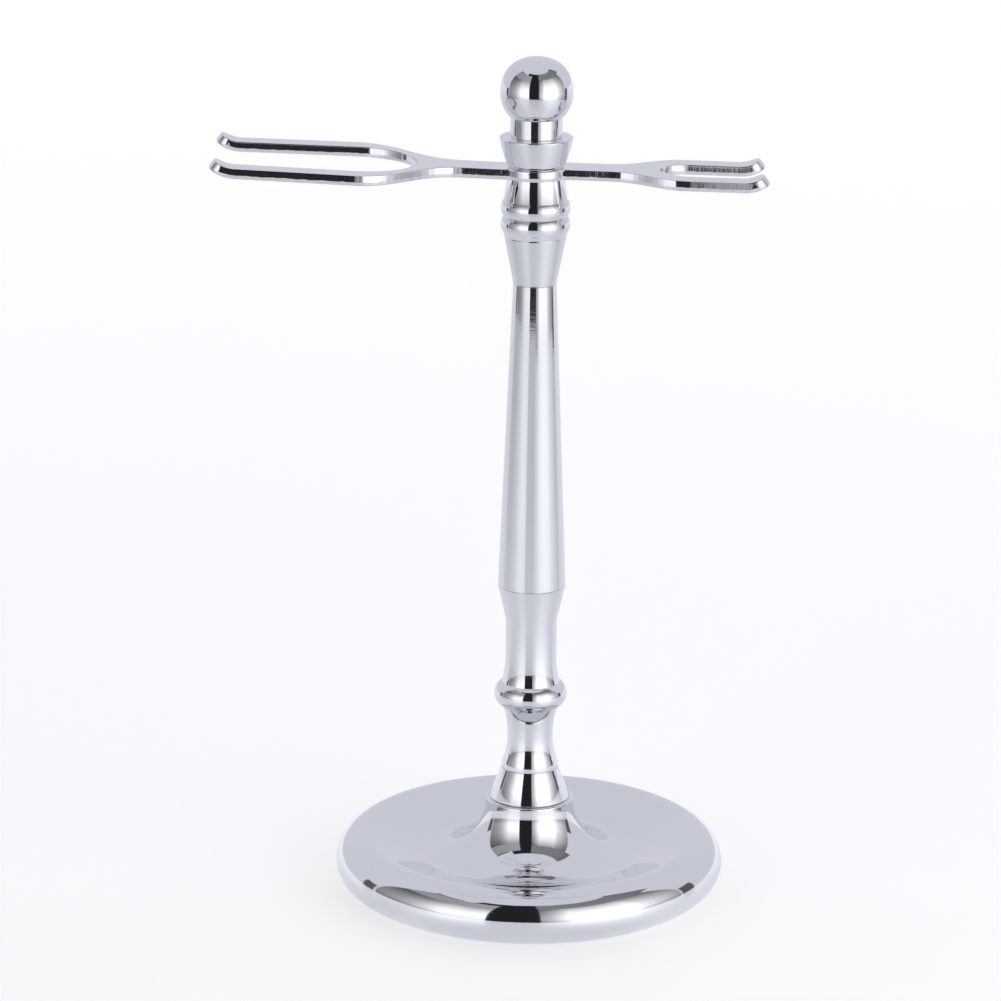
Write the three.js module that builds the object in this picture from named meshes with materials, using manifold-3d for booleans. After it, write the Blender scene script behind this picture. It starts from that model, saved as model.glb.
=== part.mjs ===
// Razor and brush stand: a turned column on a weighted round base, with a double-ended
// cradle held on top by a ball-headed screw. Millimetres, +Z up. The origin is on the
// column's axis, in the plane of the table. The cradle's brush slot opens towards -X and
// its razor slot towards +X.

import * as THREE from 'three';
import { mergeVertices } from 'three/addons/utils/BufferGeometryUtils.js';
import Module from 'manifold-3d';

// ---------------------------------------------------------------- driving dimensions

// heights of the joints between the stacked pieces
const HUB_TOP = 18.3;
const CONE_TOP = 24.4;
const FOOT_TOP = 61.7;
const SHAFT_TOP = 121.6;
const CRADLE_BOTTOM = 142.3;
const CRADLE_THICKNESS = 2.0;
const CRADLE_TOP = CRADLE_BOTTOM + CRADLE_THICKNESS;
const COLLAR_TOP = 150.0;

// base
const BASE_RADIUS = 38.0;
const RIM_HEIGHT = 5.3;
const RIM_RADIUS = 5.4;
const WALL = 1.5;
const HUB_RADIUS = 8.5;
const HUB_EDGE = 0.4;
const TRUMPET_RADIUS = 10.8;
const DISH_SLOPE = 18.7;
const UNDERSIDE_GAP = 0.3;
const PAD_RADIUS = 31.2;
const PAD_OPENING = 31.5;
const PAD_THICKNESS = 2.0;

// screws: M5, drawn at their outer diameter in plain clearance holes
const THREAD_RADIUS = 2.5;
const HOLE_RADIUS = 2.8;
const THREAD_CHAMFER = 0.5;
const HOLE_END_GAP = 0.6;
const HEX_ACROSS_FLATS = 8.0;
const HEX_HEIGHT = 3.5;
const WASHER_RADIUS = 5.0;
const WASHER_THICKNESS = 1.0;
const LOCK_WASHER_RADIUS = 4.4;
const LOCK_WASHER_THICKNESS = 1.2;
const LOCK_WASHER_SLIT = 0.8;
const HUB_PLATE = 4.0;
const BOLT_TIP = 33.0;
const STUD_HALF_LENGTH = 8.0;
const FINIAL_STUD_BOTTOM = 132.0;
const FINIAL_STUD_TOP = 156.4;

// column
const NECK_RADIUS = 4.97;
const WAIST_RADIUS = 4.43;
const SHAFT_BOTTOM_RADIUS = 6.56;
const SHAFT_TOP_RADIUS = 4.17;
const SEAM_CHAMFER = 0.15;
const BIG_BEAD_RADIUS = 2.8;
const BIG_BEAD_OUTER = 7.12;
const BIG_BEAD_HEIGHT = 39.6;
const CAP_BEAD_OUTER = 6.66;
const CAP_BEAD_RADIUS = 2.6;
const CAP_BEAD_HEIGHTS = [133.2, 136.4];
const CAP_TOP_RADIUS = 5.45;

// finial
const BALL_RADIUS = 6.94;
const BALL_HALF_HEIGHT = 6.59;
const BALL_HEIGHT = 158.57;
const BALL_FULLNESS = 2.2;
const FINIAL_NECK_RADIUS = 4.95;
const COLLAR_TOP_RADIUS = 7.0;
const COLLAR_BOTTOM_RADIUS = 5.4;

// cradle plan: half widths of the outline and slots, and their places along X
const BRUSH_TIP_X = -61.2;
const BRUSH_HALF_WIDTH = 15.6;
const BRUSH_TIP_HALF_WIDTH = 14.6;
const BRUSH_SLOT_RADIUS = 11.1;
const BRUSH_SLOT_TIP_HALF = 10.1;
const BRUSH_SLOT_X = -33.7;
const BRUSH_SHOULDER_X = -34.0;
const RAZOR_TIP_X = 43.9;
const RAZOR_HALF_WIDTH = 9.8;
const RAZOR_SLOT_RADIUS = 5.4;
const RAZOR_SLOT_TIP_HALF = 5.2;
const RAZOR_SLOT_X = 28.9;
const RAZOR_SHOULDER_X = 28.5;
const BOSS_RADIUS = 6.1;
const CRADLE_WAIST = 3.5;
const BRUSH_WAIST_X = -14.0;
const RAZOR_WAIST_X = 13.5;
const BRUSH_BEND_X = [-25.5, -22.5];
const RAZOR_BEND_X = [20.0, 22.0];
const BOSS_BLEND_ANGLE = 35;
const UPTURN_RADIUS = 6.0;
const UPTURN_ANGLE = 38;
const UPTURN_RUN = 5.0;
const BRUSH_ARM_SLOPE = 2.4;
const RAZOR_ARM_SLOPE = 1.7;

// facets round a turned piece
const BASE_FACETS = 48;
const COLUMN_FACETS = 28;
const SCREW_FACETS = 16;
const ARC_STEPS = 3;
const CRADLE_ARC_STEPS = 4;
const UPTURN_STEPS = 6;
const MERGE_DISTANCE = 0.01;

// ---------------------------------------------------------------- materials

const CHROME = { color: 0xe3e4e7, roughness: 0.05, metalness: 1.0 };
const STEEL = { color: 0x9a9ca0, roughness: 0.35, metalness: 1.0 };
const IRON = { color: 0x3c3d3f, roughness: 0.8, metalness: 0.6 };
const RUBBER = { color: 0x1c1c1e, roughness: 0.9, metalness: 0.0 };

function namedMesh(name, geometry, finish) {
  const mesh = new THREE.Mesh(geometry, new THREE.MeshStandardMaterial(finish));
  mesh.name = name;
  return mesh;
}

// ---------------------------------------------------------------- solids

const radians = THREE.MathUtils.degToRad;
const wasm = await Module();
wasm.setup();

// The points of an outline, with those that fall on the one before left out.
function outlinePoints(path, steps) {
  const points = path.getPoints(steps);
  return points.filter((point, i) => i === 0 || point.distanceTo(points[i - 1]) > MERGE_DISTANCE);
}

// Revolves an outline of (radius, height) points, drawn anticlockwise, about +Z.
function turned(path, facets) {
  const geometry = new THREE.LatheGeometry(outlinePoints(path, ARC_STEPS), facets);
  return geometry.rotateX(Math.PI / 2);
}

function solidFrom(geometry) {
  const bare = geometry.index ? geometry.toNonIndexed() : geometry.clone();
  bare.deleteAttribute('normal');
  bare.deleteAttribute('uv');
  const merged = mergeVertices(bare, 1e-4);
  const vertProperties = new Float32Array(merged.attributes.position.array);
  const triVerts = new Uint32Array(merged.index.array);
  return new wasm.Manifold(new wasm.Mesh({ numProp: 3, vertProperties, triVerts }));
}

function geometryFrom(solid) {
  const mesh = solid.getMesh();
  const geometry = new THREE.BufferGeometry();
  geometry.setAttribute('position', new THREE.BufferAttribute(mesh.vertProperties, 3));
  geometry.setIndex(new THREE.BufferAttribute(mesh.triVerts, 1));
  geometry.computeVertexNormals();
  return geometry;
}

// A blind hole in the bottom face of a turned piece: the outline's start, from the axis.
function startWithBottomHole(path, faceHeight, depth) {
  path.moveTo(0, faceHeight + depth);
  path.lineTo(HOLE_RADIUS, faceHeight + depth);
  path.lineTo(HOLE_RADIUS, faceHeight);
}

// A blind hole in the top face of a turned piece: the outline's end, back on the axis.
function endWithTopHole(path, faceHeight, depth) {
  path.lineTo(HOLE_RADIUS, faceHeight);
  path.lineTo(HOLE_RADIUS, faceHeight - depth);
  path.lineTo(0, faceHeight - depth);
}

// A bead is an arc that stands out of the outline between two angles, in degrees.
function bead(path, outer, height, radius, from, to) {
  path.absarc(outer - radius, height, radius, radians(from), radians(to));
}

// ---------------------------------------------------------------- base

const TRUMPET_CENTRE_R = HUB_RADIUS + TRUMPET_RADIUS;
const TRUMPET_CENTRE_Z = HUB_TOP - HUB_EDGE;
const RIM_CENTRE_R = BASE_RADIUS - RIM_RADIUS;
const RIM_LOWER_HEIGHT = RIM_HEIGHT - UNDERSIDE_GAP;
const CREST_END = radians(90 + DISH_SLOPE);
const CREST_MIDDLE = CREST_END / 2;
const TRUMPET_START = radians(270 + DISH_SLOPE);
const SEAT = HUB_TOP - HUB_PLATE;

function baseShell() {
  const path = new THREE.Path();
  path.moveTo(PAD_OPENING, UNDERSIDE_GAP + WALL);
  path.lineTo(PAD_OPENING, UNDERSIDE_GAP);
  path.absellipse(RIM_CENTRE_R, RIM_HEIGHT, RIM_RADIUS, RIM_LOWER_HEIGHT, radians(-90), 0);
  path.absarc(RIM_CENTRE_R, RIM_HEIGHT, RIM_RADIUS, 0, CREST_MIDDLE);
  path.absarc(RIM_CENTRE_R, RIM_HEIGHT, RIM_RADIUS, CREST_MIDDLE, CREST_END);
  path.absarc(TRUMPET_CENTRE_R, TRUMPET_CENTRE_Z, TRUMPET_RADIUS, TRUMPET_START, Math.PI, true);
  path.absarc(HUB_RADIUS - HUB_EDGE, TRUMPET_CENTRE_Z, HUB_EDGE, 0, radians(90));
  path.lineTo(HOLE_RADIUS, HUB_TOP);
  path.lineTo(HOLE_RADIUS, SEAT);
  const inner = TRUMPET_RADIUS + WALL;
  const seatAngle = Math.PI + Math.asin((TRUMPET_CENTRE_Z - SEAT) / inner);
  path.absarc(TRUMPET_CENTRE_R, TRUMPET_CENTRE_Z, inner, seatAngle, TRUMPET_START);
  const innerRim = RIM_RADIUS - WALL;
  path.absarc(RIM_CENTRE_R, RIM_HEIGHT, innerRim, CREST_END, CREST_MIDDLE, true);
  path.absarc(RIM_CENTRE_R, RIM_HEIGHT, innerRim, CREST_MIDDLE, 0, true);
  path.absellipse(RIM_CENTRE_R, RIM_HEIGHT, innerRim, RIM_LOWER_HEIGHT - WALL, 0, radians(-90), true);
  path.lineTo(PAD_OPENING, UNDERSIDE_GAP + WALL);
  return namedMesh('base_shell', turned(path, BASE_FACETS), CHROME);
}

// The weight fills the hollow under the dish, sloping nearly as it does.
function baseWeight() {
  const bore = 9.5;
  const flatRadius = 19.5;
  const lowTop = 4.8;
  const slope = 17;
  const highTop = lowTop + (PAD_RADIUS - flatRadius) * Math.tan(radians(slope));
  const path = new THREE.Path();
  path.moveTo(bore, PAD_THICKNESS);
  path.lineTo(PAD_RADIUS, PAD_THICKNESS);
  path.lineTo(PAD_RADIUS, highTop);
  path.lineTo(flatRadius, lowTop);
  path.lineTo(bore, lowTop);
  path.lineTo(bore, PAD_THICKNESS);
  return namedMesh('base_weight', turned(path, BASE_FACETS), IRON);
}

function basePad() {
  const edge = 0.3;
  const path = new THREE.Path();
  path.moveTo(0, 0);
  path.lineTo(PAD_RADIUS - edge, 0);
  path.lineTo(PAD_RADIUS, edge);
  path.lineTo(PAD_RADIUS, PAD_THICKNESS);
  path.lineTo(0, PAD_THICKNESS);
  return namedMesh('base_pad', turned(path, BASE_FACETS), RUBBER);
}

// ---------------------------------------------------------------- fasteners

const LOCK_WASHER_TOP = SEAT - WASHER_THICKNESS;
const HEAD_TOP = LOCK_WASHER_TOP - LOCK_WASHER_THICKNESS;

function screwShank(bottom, top, chamferBottom) {
  const path = new THREE.Path();
  const startRadius = chamferBottom ? THREAD_RADIUS - THREAD_CHAMFER : THREAD_RADIUS;
  path.moveTo(0, bottom);
  path.lineTo(startRadius, bottom);
  if (chamferBottom) path.lineTo(THREAD_RADIUS, bottom + THREAD_CHAMFER);
  path.lineTo(THREAD_RADIUS, top - THREAD_CHAMFER);
  path.lineTo(THREAD_RADIUS - THREAD_CHAMFER, top);
  path.lineTo(0, top);
  return turned(path, SCREW_FACETS);
}

function baseBolt() {
  const cornerRadius = HEX_ACROSS_FLATS / Math.sqrt(3);
  const head = new THREE.CylinderGeometry(cornerRadius, cornerRadius, HEX_HEIGHT, 6);
  head.rotateX(Math.PI / 2);
  head.translate(0, 0, HEAD_TOP - HEX_HEIGHT / 2);
  const shank = screwShank(HEAD_TOP - HEX_HEIGHT / 2, BOLT_TIP, false);
  const bolt = solidFrom(head).add(solidFrom(shank));
  return namedMesh('base_bolt', geometryFrom(bolt), STEEL);
}

function boltWasher() {
  const path = new THREE.Path();
  path.moveTo(HOLE_RADIUS, LOCK_WASHER_TOP);
  path.lineTo(WASHER_RADIUS, LOCK_WASHER_TOP);
  path.lineTo(WASHER_RADIUS, SEAT);
  path.lineTo(HOLE_RADIUS, SEAT);
  path.lineTo(HOLE_RADIUS, LOCK_WASHER_TOP);
  return namedMesh('bolt_washer', turned(path, COLUMN_FACETS), STEEL);
}

// A spring washer is a flat ring with one narrow slit.
function lockWasher() {
  const halfSlit = Math.asin(LOCK_WASHER_SLIT / 2 / HOLE_RADIUS);
  const shape = new THREE.Shape();
  shape.absarc(0, 0, LOCK_WASHER_RADIUS, halfSlit, -halfSlit + 2 * Math.PI);
  shape.absarc(0, 0, HOLE_RADIUS, -halfSlit + 2 * Math.PI, halfSlit, true);
  const geometry = new THREE.ExtrudeGeometry(shape, {
    depth: LOCK_WASHER_THICKNESS,
    bevelEnabled: false,
    curveSegments: COLUMN_FACETS / 2,
  });
  geometry.translate(0, 0, HEAD_TOP);
  return namedMesh('lock_washer', geometry, STEEL);
}

function stud(name, bottom, top) {
  return namedMesh(name, screwShank(bottom, top, true), STEEL);
}

// ---------------------------------------------------------------- column

function footCone() {
  const bottomRadius = 7.85;
  const topRadius = 5.55;
  const edge = 0.3;
  const path = new THREE.Path();
  path.moveTo(HOLE_RADIUS, HUB_TOP);
  path.lineTo(bottomRadius - edge, HUB_TOP);
  path.lineTo(bottomRadius, HUB_TOP + edge);
  path.lineTo(topRadius, CONE_TOP);
  path.lineTo(HOLE_RADIUS, CONE_TOP);
  path.lineTo(HOLE_RADIUS, HUB_TOP);
  return namedMesh('foot_cone', turned(path, COLUMN_FACETS), CHROME);
}

function columnFoot() {
  const footRadius = 5.52;
  const footEdge = 0.1;
  const footBand = 1.0;
  const lowerFlareHeight = 28.3;
  const waistHeight = 30.9;
  const upperFlareHeight = 34.2;
  const beadSeatRadius = 5.37;
  const beadSeatHeight = 37.0;
  const beadLowAngle = -68;
  const beadHighAngle = 62;
  const flareRadius = 5.42;
  const flareHeight = 42.9;
  const neckBottom = 45.8;
  const neckTop = 54.7;
  const path = new THREE.Path();
  startWithBottomHole(path, CONE_TOP, BOLT_TIP + HOLE_END_GAP - CONE_TOP);
  path.lineTo(footRadius - footEdge, CONE_TOP);
  path.lineTo(footRadius, CONE_TOP + footBand);
  path.quadraticCurveTo(WAIST_RADIUS, lowerFlareHeight, WAIST_RADIUS, waistHeight);
  path.quadraticCurveTo(WAIST_RADIUS, upperFlareHeight, beadSeatRadius, beadSeatHeight);
  bead(path, BIG_BEAD_OUTER, BIG_BEAD_HEIGHT, BIG_BEAD_RADIUS, beadLowAngle, beadHighAngle);
  path.lineTo(flareRadius, flareHeight);
  path.lineTo(NECK_RADIUS, neckBottom);
  path.lineTo(NECK_RADIUS, neckTop);
  path.lineTo(SHAFT_BOTTOM_RADIUS, FOOT_TOP - SEAM_CHAMFER);
  path.lineTo(SHAFT_BOTTOM_RADIUS - SEAM_CHAMFER, FOOT_TOP);
  endWithTopHole(path, FOOT_TOP, STUD_HALF_LENGTH + HOLE_END_GAP);
  return namedMesh('column_foot', turned(path, COLUMN_FACETS), CHROME);
}

function columnShaft() {
  const holeDepth = STUD_HALF_LENGTH + HOLE_END_GAP;
  const path = new THREE.Path();
  startWithBottomHole(path, FOOT_TOP, holeDepth);
  path.lineTo(SHAFT_BOTTOM_RADIUS - SEAM_CHAMFER, FOOT_TOP);
  path.lineTo(SHAFT_BOTTOM_RADIUS, FOOT_TOP + SEAM_CHAMFER);
  path.lineTo(SHAFT_TOP_RADIUS, SHAFT_TOP - SEAM_CHAMFER);
  path.lineTo(SHAFT_TOP_RADIUS - SEAM_CHAMFER, SHAFT_TOP);
  endWithTopHole(path, SHAFT_TOP, holeDepth);
  return namedMesh('column_shaft', turned(path, COLUMN_FACETS), CHROME);
}

function columnCap() {
  const beadAngle = 38;
  const path = new THREE.Path();
  startWithBottomHole(path, SHAFT_TOP, STUD_HALF_LENGTH + HOLE_END_GAP);
  path.lineTo(SHAFT_TOP_RADIUS - SEAM_CHAMFER, SHAFT_TOP);
  path.lineTo(SHAFT_TOP_RADIUS, SHAFT_TOP + SEAM_CHAMFER);
  for (const height of CAP_BEAD_HEIGHTS) {
    bead(path, CAP_BEAD_OUTER, height, CAP_BEAD_RADIUS, -beadAngle, beadAngle);
  }
  path.lineTo(CAP_TOP_RADIUS, CRADLE_BOTTOM);
  endWithTopHole(path, CRADLE_BOTTOM, CRADLE_BOTTOM - FINIAL_STUD_BOTTOM + HOLE_END_GAP);
  return namedMesh('column_cap', turned(path, COLUMN_FACETS), CHROME);
}

// ---------------------------------------------------------------- finial

function finialCollar() {
  const edge = 0.35;
  const bellyRadius = 6.35;
  const bellyHeight = 146.6;
  const path = new THREE.Path();
  path.moveTo(HOLE_RADIUS, CRADLE_TOP);
  path.lineTo(COLLAR_BOTTOM_RADIUS, CRADLE_TOP);
  path.quadraticCurveTo(bellyRadius, bellyHeight, COLLAR_TOP_RADIUS, COLLAR_TOP - edge);
  path.lineTo(COLLAR_TOP_RADIUS - edge, COLLAR_TOP);
  path.lineTo(HOLE_RADIUS, COLLAR_TOP);
  path.lineTo(HOLE_RADIUS, CRADLE_TOP);
  return namedMesh('finial_collar', turned(path, COLUMN_FACETS), CHROME);
}

// A ball a little flattened at the top: a superellipse turned about the axis.
function finialBall() {
  const edge = 0.25;
  const steps = 13;
  const power = 2 / BALL_FULLNESS;
  const neckAngle = -Math.acos((FINIAL_NECK_RADIUS / BALL_RADIUS) ** (1 / power));
  const path = new THREE.Path();
  startWithBottomHole(path, COLLAR_TOP, FINIAL_STUD_TOP + HOLE_END_GAP - COLLAR_TOP);
  path.lineTo(FINIAL_NECK_RADIUS - edge, COLLAR_TOP);
  path.lineTo(FINIAL_NECK_RADIUS, COLLAR_TOP + edge);
  for (let i = 0; i < steps; i++) {
    const angle = neckAngle + ((radians(90) - neckAngle) * i) / steps;
    const out = Math.cos(angle) ** power;
    const up = Math.sign(angle) * Math.abs(Math.sin(angle)) ** power;
    path.lineTo(BALL_RADIUS * out, BALL_HEIGHT + BALL_HALF_HEIGHT * up);
  }
  path.lineTo(0, BALL_HEIGHT + BALL_HALF_HEIGHT);
  return namedMesh('finial_ball', turned(path, COLUMN_FACETS), CHROME);
}

// ---------------------------------------------------------------- cradle

// One half of the outline, from the brush tip to the razor tip, on the +Y or -Y side.
function halfOutline(side) {
  const path = new THREE.Path();
  const tineHalf = (BRUSH_TIP_HALF_WIDTH - BRUSH_SLOT_TIP_HALF) / 2;
  const tipMiddle = (BRUSH_TIP_HALF_WIDTH + BRUSH_SLOT_TIP_HALF) / 2;
  const razorHalf = (RAZOR_HALF_WIDTH - RAZOR_SLOT_TIP_HALF) / 2;
  const razorMiddle = (RAZOR_HALF_WIDTH + RAZOR_SLOT_TIP_HALF) / 2;
  path.absarc(BRUSH_SLOT_X, 0, BRUSH_SLOT_RADIUS, 0, radians(90));
  path.absarc(BRUSH_TIP_X + tineHalf, tipMiddle, tineHalf, radians(-90), radians(90), true);
  path.lineTo(BRUSH_SHOULDER_X, BRUSH_HALF_WIDTH);
  path.bezierCurveTo(
    BRUSH_BEND_X[0], BRUSH_HALF_WIDTH, BRUSH_BEND_X[1], CRADLE_WAIST, BRUSH_WAIST_X, CRADLE_WAIST
  );
  path.absarc(0, 0, BOSS_RADIUS, radians(180 - BOSS_BLEND_ANGLE), radians(BOSS_BLEND_ANGLE), true);
  path.lineTo(RAZOR_WAIST_X, CRADLE_WAIST);
  path.bezierCurveTo(
    RAZOR_BEND_X[0], CRADLE_WAIST, RAZOR_BEND_X[1], RAZOR_HALF_WIDTH, RAZOR_SHOULDER_X, RAZOR_HALF_WIDTH
  );
  path.absarc(RAZOR_TIP_X - razorHalf, razorMiddle, razorHalf, radians(90), radians(-90), true);
  path.absarc(RAZOR_SLOT_X, 0, RAZOR_SLOT_RADIUS, radians(90), radians(180));
  const points = outlinePoints(path, CRADLE_ARC_STEPS);
  return points.map((point) => new THREE.Vector2(point.x, side * point.y));
}

// The plan of the whole cradle, without its thickness.
function cradlePlan() {
  const near = halfOutline(-1);
  const far = halfOutline(1).reverse();
  return new THREE.Shape([...near, ...far.slice(1, -1)]);
}

// How far an arm has risen or fallen at x: past the boss the brush arm slopes up towards its
// tip, and the razor arm slopes down.
function armRise(x) {
  const past = Math.max(0, Math.abs(x) - BOSS_RADIUS);
  const slope = x < 0 ? BRUSH_ARM_SLOPE : -RAZOR_ARM_SLOPE;
  return past * Math.tan(radians(slope));
}

// The cradle seen from the side: flat at the boss, with both ends turned up.
function cradleSide() {
  const shape = new THREE.Shape();
  const angle = radians(UPTURN_ANGLE);
  const inner = UPTURN_RADIUS;
  const outer = UPTURN_RADIUS + CRADLE_THICKNESS;
  const centre = CRADLE_TOP + UPTURN_RADIUS;
  const right = RAZOR_TIP_X - UPTURN_RUN;
  const left = BRUSH_TIP_X + UPTURN_RUN;
  const down = radians(-90);
  shape.absarc(right, centre, outer, down, down + angle);
  extendTip(shape, right, centre, outer, angle, 1);
  extendTip(shape, right, centre, inner, angle, 1);
  shape.absarc(right, centre, inner, down + angle, down, true);
  shape.lineTo(BOSS_RADIUS, CRADLE_TOP);
  shape.lineTo(-BOSS_RADIUS, CRADLE_TOP);
  shape.absarc(left, centre, inner, down, down - angle, true);
  extendTip(shape, left, centre, inner, angle, -1);
  extendTip(shape, left, centre, outer, angle, -1);
  shape.absarc(left, centre, outer, down - angle, down);
  shape.lineTo(-BOSS_RADIUS, CRADLE_BOTTOM);
  shape.lineTo(BOSS_RADIUS, CRADLE_BOTTOM);
  const points = outlinePoints(shape, UPTURN_STEPS);
  return new THREE.Shape(points.map((point) => new THREE.Vector2(point.x, point.y + armRise(point.x))));
}

// Carries the turned-up end straight on, past the tip of the plan.
function extendTip(shape, x, centre, radius, angle, side) {
  const reach = 6;
  const endX = x + side * (radius * Math.sin(angle) + reach * Math.cos(angle));
  const endZ = centre - radius * Math.cos(angle) + reach * Math.sin(angle);
  shape.lineTo(endX, endZ);
}

function cradlePlate() {
  const tall = 30;
  const wide = 60;
  const prism = new THREE.ExtrudeGeometry(cradlePlan(), { depth: tall, bevelEnabled: false });
  prism.translate(0, 0, CRADLE_BOTTOM - tall / 3);
  const band = new THREE.ExtrudeGeometry(cradleSide(), { depth: wide, bevelEnabled: false });
  band.rotateX(Math.PI / 2);
  band.translate(0, wide / 2, 0);
  const hole = new THREE.CylinderGeometry(HOLE_RADIUS, HOLE_RADIUS, tall, COLUMN_FACETS);
  hole.rotateX(Math.PI / 2);
  hole.translate(0, 0, CRADLE_TOP);
  const plate = solidFrom(prism).intersect(solidFrom(band)).subtract(solidFrom(hole));
  return namedMesh('cradle_plate', geometryFrom(plate), CHROME);
}

// ---------------------------------------------------------------- assembly

const razorStand = new THREE.Group();
razorStand.add(
  basePad(),
  baseWeight(),
  baseShell(),
  baseBolt(),
  boltWasher(),
  lockWasher(),
  footCone(),
  columnFoot(),
  stud('foot_stud', FOOT_TOP - STUD_HALF_LENGTH, FOOT_TOP + STUD_HALF_LENGTH),
  columnShaft(),
  stud('cap_stud', SHAFT_TOP - STUD_HALF_LENGTH, SHAFT_TOP + STUD_HALF_LENGTH),
  columnCap(),
  cradlePlate(),
  finialCollar(),
  stud('finial_stud', FINIAL_STUD_BOTTOM, FINIAL_STUD_TOP),
  finialBall()
);

export default razorStand;
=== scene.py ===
"""Razor and brush stand: the visual model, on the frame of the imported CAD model.

Outlines are in millimetres, as (radius, height) or (x, y), and become metres as a mesh is made.
"""
import math

import bmesh
import bpy
from mathutils import Matrix, Vector, noise
from mathutils.geometry import delaunay_2d_cdt

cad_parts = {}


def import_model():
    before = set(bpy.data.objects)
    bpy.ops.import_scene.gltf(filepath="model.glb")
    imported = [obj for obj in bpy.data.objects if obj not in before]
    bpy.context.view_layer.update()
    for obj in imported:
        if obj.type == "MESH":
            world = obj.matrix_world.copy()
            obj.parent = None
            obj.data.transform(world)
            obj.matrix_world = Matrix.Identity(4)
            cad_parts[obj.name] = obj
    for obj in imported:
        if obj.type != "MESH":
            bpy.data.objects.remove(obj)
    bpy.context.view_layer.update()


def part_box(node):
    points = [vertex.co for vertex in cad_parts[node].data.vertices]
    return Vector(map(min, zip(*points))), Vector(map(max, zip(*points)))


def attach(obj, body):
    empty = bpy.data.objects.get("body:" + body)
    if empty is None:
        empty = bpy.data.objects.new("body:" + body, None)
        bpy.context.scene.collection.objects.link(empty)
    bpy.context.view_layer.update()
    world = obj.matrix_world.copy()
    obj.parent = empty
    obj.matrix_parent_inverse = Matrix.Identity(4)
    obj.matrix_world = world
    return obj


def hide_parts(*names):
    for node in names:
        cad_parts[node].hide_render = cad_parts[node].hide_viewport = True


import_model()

MM = 0.001

# ---------------------------------------------------------------- sizes, in millimetres


def top(node):
    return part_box(node)[1].z / MM


def bottom(node):
    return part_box(node)[0].z / MM


def radius(node):
    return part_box(node)[1].x / MM


HUB_TOP = top("base_shell")
CONE_TOP = top("foot_cone")
FOOT_TOP = top("column_foot")
SHAFT_TOP = top("column_shaft")
CRADLE_BOTTOM = top("column_cap")
CRADLE_TOP = bottom("finial_collar")
COLLAR_TOP = top("finial_collar")
BASE_RADIUS = radius("base_shell")
PAD_RADIUS = radius("base_pad")
PAD_TOP = top("base_pad")

# every turned piece: its edge break, and how far a blind hole goes past its screw's end
EDGE = 0.15
SCREW_ROOM = 0.6

# base
RIM_HEIGHT = 5.3
RIM_RADIUS = 5.4
DISH_SLOPE = 18.7
TRUMPET_RADIUS = 10.8
HUB_RADIUS = 8.5
HUB_EDGE = 0.4
HUB_PLATE = 4.0
WALL = 1.5
UNDERSIDE_GAP = 0.3
PAD_OPENING = 31.5

# column
CONE_BOTTOM_RADIUS = radius("foot_cone")
CONE_TOP_RADIUS = 5.55
FOOT_RADIUS = 5.52
WAIST_RADIUS = 4.43
WAIST_HEIGHT = 30.9
CUP_RADIUS = 5.37
CUP_HEIGHT = 37.0
BIG_BEAD_OUTER = radius("column_foot")
BIG_BEAD_RADIUS = 2.8
BIG_BEAD_HEIGHT = 39.6
BIG_BEAD_ANGLES = (-68, 62)
FLARE_RADIUS = 5.42
FLARE_HEIGHT = 42.9
NECK_RADIUS = 4.97
NECK_HEIGHTS = (45.8, 54.7)
SHAFT_BOTTOM_RADIUS = radius("column_shaft")
SHAFT_TOP_RADIUS = 4.17
GROOVE_RADIUS = 5.85
GROOVE_HEIGHT = 130.9
CAP_BEAD_OUTER = radius("column_cap")
CAP_BEAD_RADIUS = 2.6
CAP_BEAD_HEIGHTS = (133.2, 136.4)
CAP_BEAD_ANGLE = 38
CAP_TOP_RADIUS = 5.45

# finial
COLLAR_TOP_RADIUS = radius("finial_collar")
COLLAR_MIDDLE = (6.35, 146.6)
COLLAR_BOTTOM_RADIUS = 5.4
FINIAL_NECK_RADIUS = 4.95
BALL_RADIUS = radius("finial_ball")
BALL_HALF_HEIGHT = 6.59
BALL_HEIGHT = top("finial_ball") - BALL_HALF_HEIGHT
BALL_FULLNESS = 2.2

# fasteners
HOLE_RADIUS = 2.8
THREAD_RADIUS = 2.5
THREAD_DEPTH = 0.43
THREAD_PITCH = 0.8
THREAD_CHAMFER = 0.5
HEAD_ACROSS_FLATS = 8.0
HEAD_HEIGHT = 3.5

# cradle
CRADLE_THICKNESS = CRADLE_TOP - CRADLE_BOTTOM
BRUSH_TIP_X = -61.2
BRUSH_HALF_WIDTH = 15.6
BRUSH_TIP_HALF_WIDTH = 14.6
BRUSH_SLOT_RADIUS = 11.1
BRUSH_SLOT_TIP_HALF = 10.1
BRUSH_SLOT_X = -33.7
BRUSH_SHOULDER_X = -34.0
BRUSH_BEND_X = (-25.5, -22.5)
BRUSH_WAIST_X = -14.0
RAZOR_TIP_X = 43.9
RAZOR_HALF_WIDTH = 9.8
RAZOR_SLOT_RADIUS = 5.4
RAZOR_SLOT_TIP_HALF = 5.2
RAZOR_SLOT_X = 28.9
RAZOR_SHOULDER_X = 28.5
RAZOR_BEND_X = (20.0, 22.0)
RAZOR_WAIST_X = 13.5
CRADLE_WAIST = 3.5
BOSS_RADIUS = 6.1
BOSS_BLEND_ANGLE = 35
UPTURN_RADIUS = 6.0
UPTURN_ANGLE = 38
UPTURN_RUN = 5.0
BRUSH_ARM_SLOPE = 2.4
RAZOR_ARM_SLOPE = 1.7
FACE_ROUNDING = 0.18
FACE_MARGIN = 0.06
SHEARED_LEAN = 0.03

# camera, about the stand's axis: a small turn from the front, then its place, aim and lens
CAMERA_TURN = -0.78
CAMERA_DISTANCE = 831.0
CAMERA_HEIGHT = 319.1
CAMERA_PITCH = 16.15
CAMERA_YAW = -0.426
CAMERA_ROLL = 0.49
CAMERA_LENS = 161.3

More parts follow.
